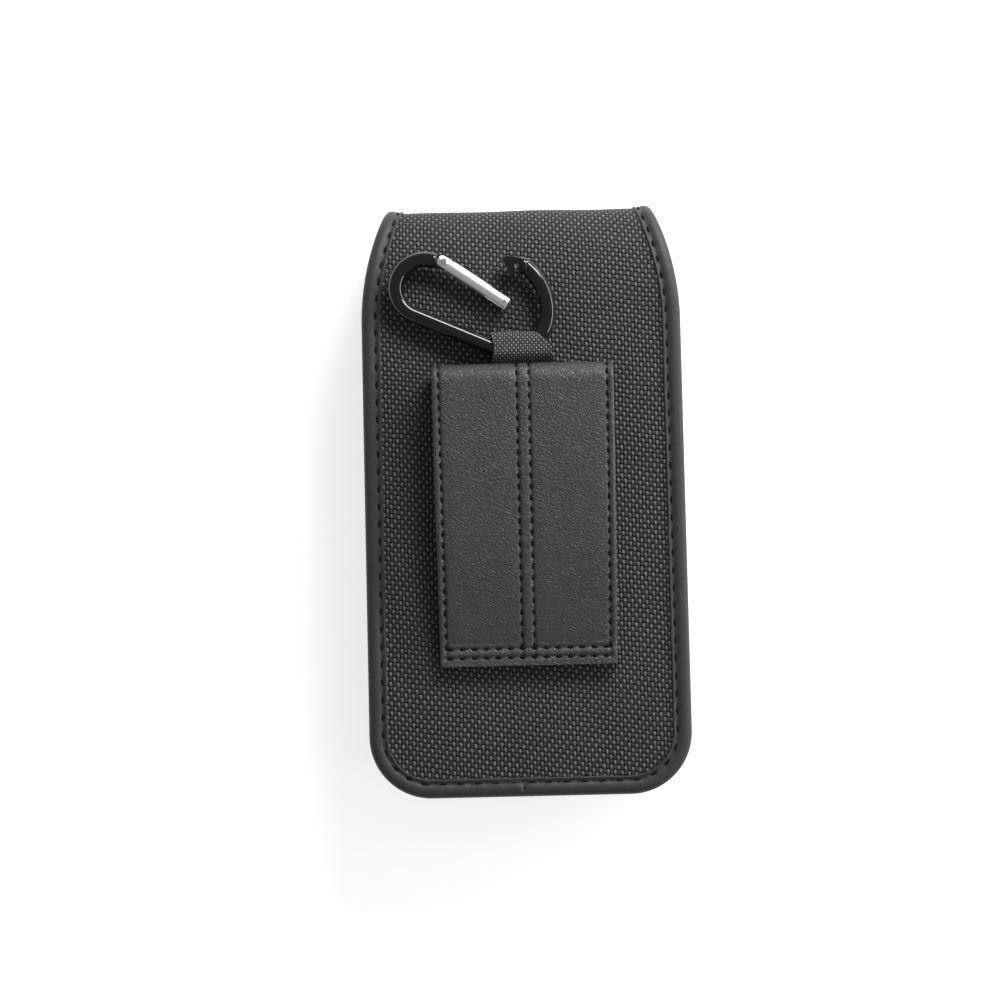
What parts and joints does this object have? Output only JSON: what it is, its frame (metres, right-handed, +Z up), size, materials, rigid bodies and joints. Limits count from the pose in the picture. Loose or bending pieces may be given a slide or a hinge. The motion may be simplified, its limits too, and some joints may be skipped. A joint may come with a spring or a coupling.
{
  "type": "phone belt holster",
  "caption": "Bound nylon phone pouch with a fold-over magnetic flap, a leatherette belt loop on its back and a spring-gate carabiner on a webbing tab.",
  "frame": {"origin": "middle of the surface that the holster lies on, with its back up", "axes": "+X to the right across the back, +Y from the closed bottom towards the fold of the flap, +Z up out of the back"},
  "size_m": [0.092, 0.1711, 0.0377],
  "materials": {
    "ballistic_nylon": "coarse plain weave in black ballistic nylon",
    "stiffener": "grey fibre stiffening board",
    "fold_foam": "thin closed-cell foam",
    "lining_cloth": "fine plain-weave lining",
    "edge_leatherette": "smooth satin dark grey leatherette tape",
    "loop_leatherette": "fine-grained matt dark grey leatherette",
    "webbing": "fine pebbly nylon web",
    "black_enamel": "gloss black enamel on aluminium",
    "satin_aluminium": "satin brushed",
    "pin_steel": "turned bright steel",
    "spring_steel": "drawn spring wire",
    "magnet_plate": "nickel plated"
  },
  "bodies": {
    "pouch": {"back_shell": "ballistic_nylon", "back_board": "stiffener", "back_lining": "lining_cloth", "back_binding": "edge_leatherette", "gusset": "ballistic_nylon", "front_shell": "ballistic_nylon", "front_board": "stiffener", "front_lining": "lining_cloth", "front_binding": "edge_leatherette", "mouth_binding": "edge_leatherette", "pouch_magnet": "magnet_plate", "belt_loop": "loop_leatherette", "carabiner_tab": "webbing"},
    "fold": {"fold_shell": "ballistic_nylon", "fold_foam": "fold_foam", "fold_lining": "lining_cloth", "fold_binding": "edge_leatherette"},
    "flap": {"flap_shell": "ballistic_nylon", "flap_board": "stiffener", "flap_lining": "lining_cloth", "flap_binding": "edge_leatherette", "flap_magnet": "magnet_plate"},
    "carabiner": {"carabiner_body": "black_enamel", "gate_hinge_pin": "pin_steel"},
    "gate": {"gate_sleeve": "satin_aluminium", "gate_latch_pin": "pin_steel", "gate_spring": "spring_steel", "gate_plunger": "pin_steel"}
  },
  "joints": [
    {"name": "fold_back", "type": "hinge", "parent": "pouch", "child": "fold", "pos_m": [0, 0.08047, 0.02211], "axis": [1, 0, 0], "range_deg": [0, 90]},
    {"name": "flap_lift", "type": "hinge", "parent": "fold", "child": "flap", "pos_m": [0, 0.08047, 0.00589], "axis": [1, 0, 0], "range_deg": [0, 90]},
    {"name": "carabiner_swing", "type": "hinge", "parent": "pouch", "child": "carabiner", "pos_m": [0, 0.04155, 0.03055], "axis": [1, 0, 0], "range_deg": [0, 90], "deforming": ["carabiner_tab"]},
    {"name": "gate_hinge", "type": "hinge", "parent": "carabiner", "child": "gate", "pos_m": [-0.02165, 0.06729, 0.03055], "axis": [0, 0, 1], "range_deg": [-14, 31.1], "stiffness_Nm_per_rad": 0.01, "springref_deg": 37.24}
  ]
}
